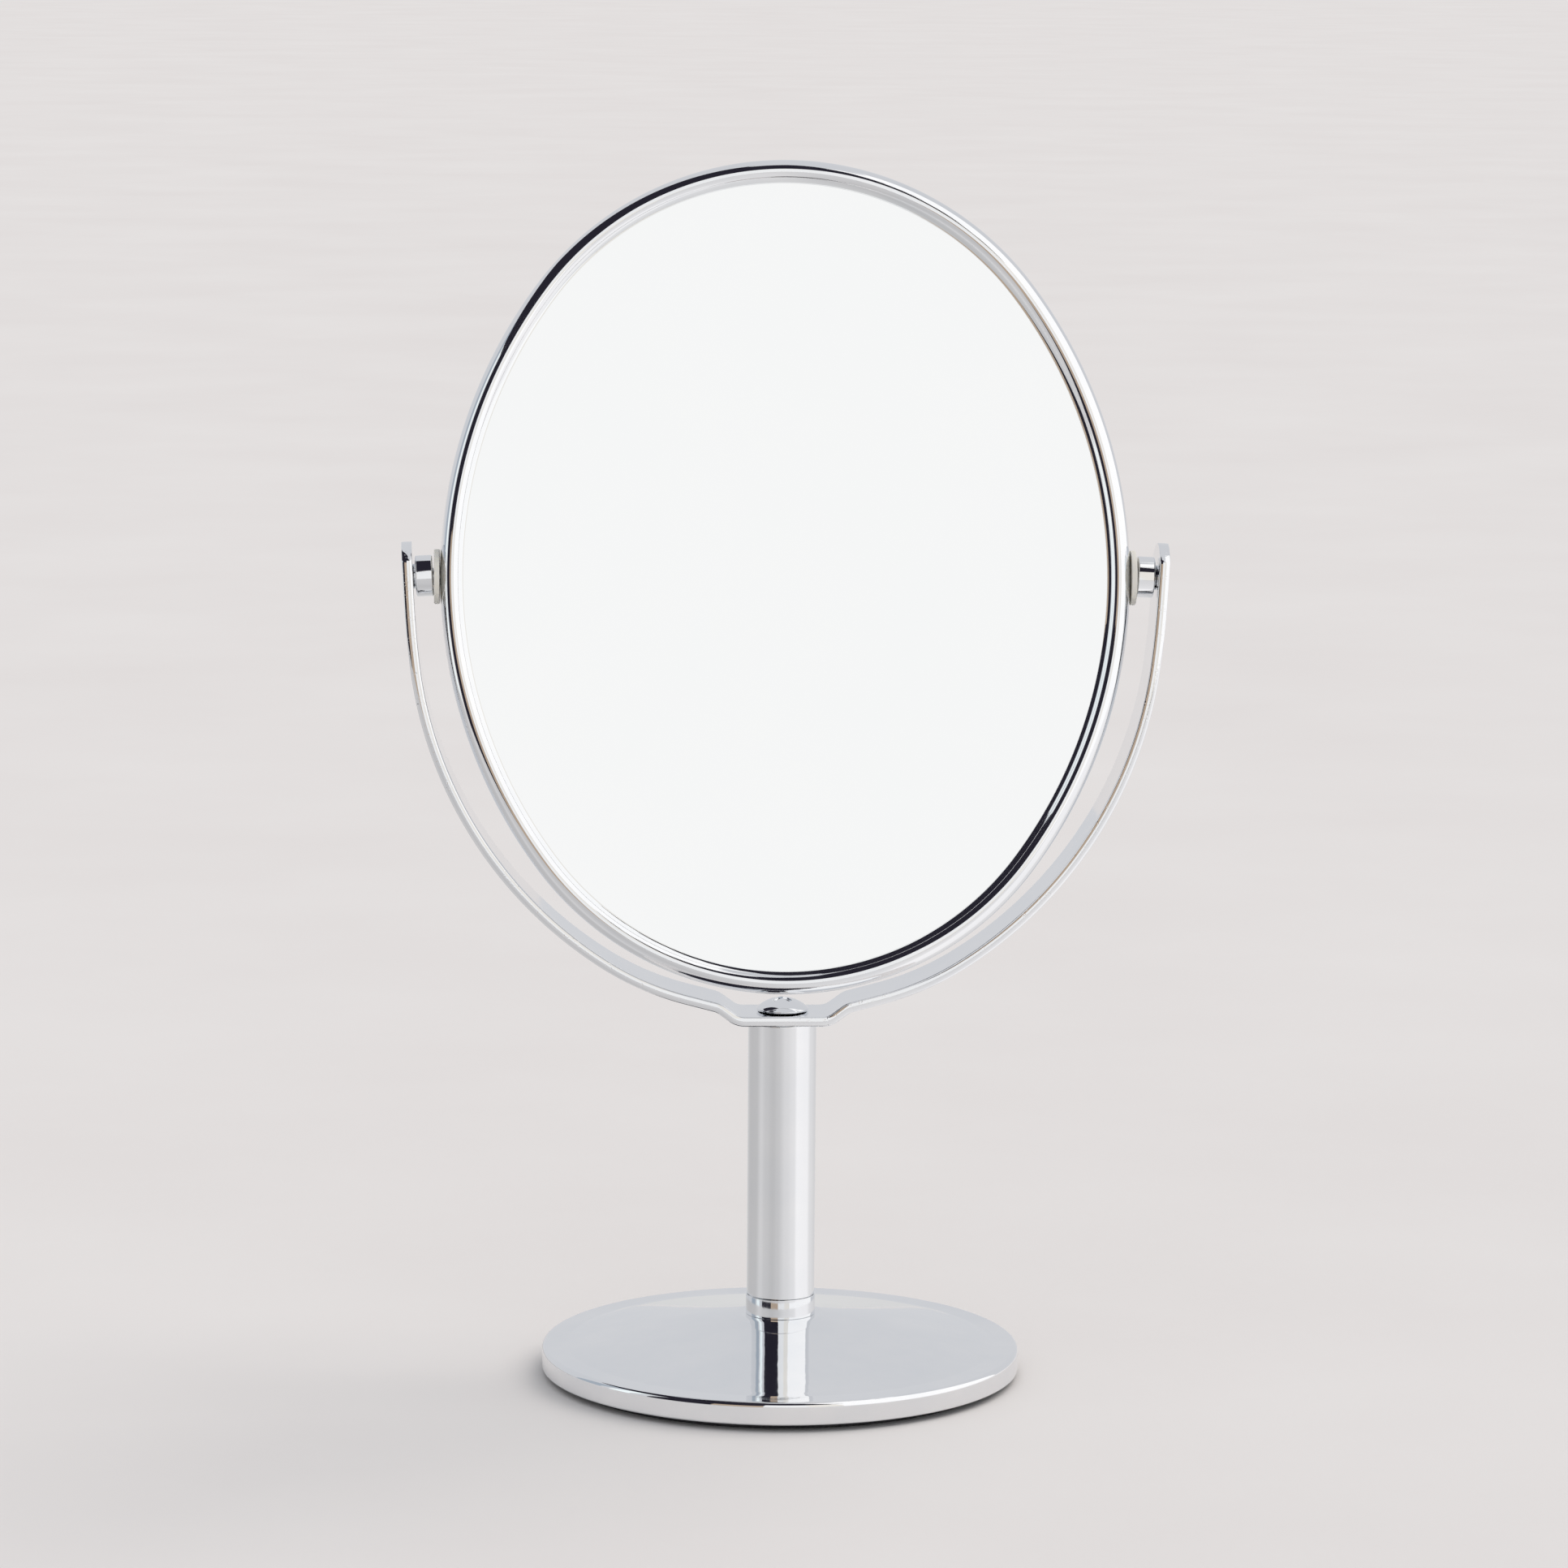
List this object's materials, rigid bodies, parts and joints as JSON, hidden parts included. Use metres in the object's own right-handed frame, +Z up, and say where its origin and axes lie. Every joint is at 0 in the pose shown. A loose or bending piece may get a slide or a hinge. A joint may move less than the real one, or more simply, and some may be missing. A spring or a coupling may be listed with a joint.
{
  "type": "shaving mirror",
  "caption": "Free-standing oval two-sided shaving mirror that tilts in a strip yoke on a short telescopic stem with a weighted round base.",
  "frame": {"origin": "centre of the underside of the base pad, on the surface that the mirror stands on", "axes": "+Z up along the stem, +X along the tilt axis towards the right-hand arm as seen by the user, the user's side is -Y"},
  "size_m": [0.178, 0.1128, 0.2855],
  "materials": {
    "bright_chrome": "bright chrome plate, polished",
    "mirror_glass": "silvered float glass with a polished edge",
    "zinc_steel": "bright zinc plated steel",
    "nylon": "natural nylon, slightly translucent",
    "pad_rubber": "black foam rubber, matt",
    "weight_iron": "as cast, painted black",
    "board": "brown fibre board, matt",
    "packing_foam": "dark grey foam strip"
  },
  "bodies": {
    "base": {"base_pad": "pad_rubber", "base_shell": "bright_chrome", "base_weight": "weight_iron", "base_bolt": "zinc_steel", "base_lock_washer": "zinc_steel", "foot_plug": "zinc_steel", "inner_tube": "bright_chrome", "foot_collar": "bright_chrome", "friction_bush": "nylon"},
    "carriage": {"guide_bush": "nylon"},
    "stem": {"outer_tube": "bright_chrome", "stop_ring": "zinc_steel", "top_plug": "zinc_steel", "yoke": "bright_chrome", "yoke_screw": "bright_chrome", "left_pivot_barrel": "bright_chrome", "right_pivot_barrel": "bright_chrome", "left_pivot_washer": "nylon", "right_pivot_washer": "nylon", "left_pivot_screw": "zinc_steel", "right_pivot_screw": "zinc_steel", "left_wave_washer": "zinc_steel", "right_wave_washer": "zinc_steel"},
    "mirror_head": {"frame_ring": "bright_chrome", "front_mirror": "mirror_glass", "rear_mirror": "mirror_glass", "backing_board": "board", "edge_packing": "packing_foam"}
  },
  "joints": [
    {"name": "stem_slide", "type": "slide", "parent": "base", "child": "carriage", "axis": [0, 0, 1], "range_m": [0, 0.036]},
    {"name": "stem_swivel", "type": "hinge", "parent": "carriage", "child": "stem", "pos_m": [0, 0, 0.05], "axis": [0, 0, 1], "continuous": true},
    {"name": "mirror_tilt", "type": "hinge", "parent": "stem", "child": "mirror_head", "pos_m": [0, 0, 0.18947], "axis": [1, 0, 0], "continuous": true}
  ]
}
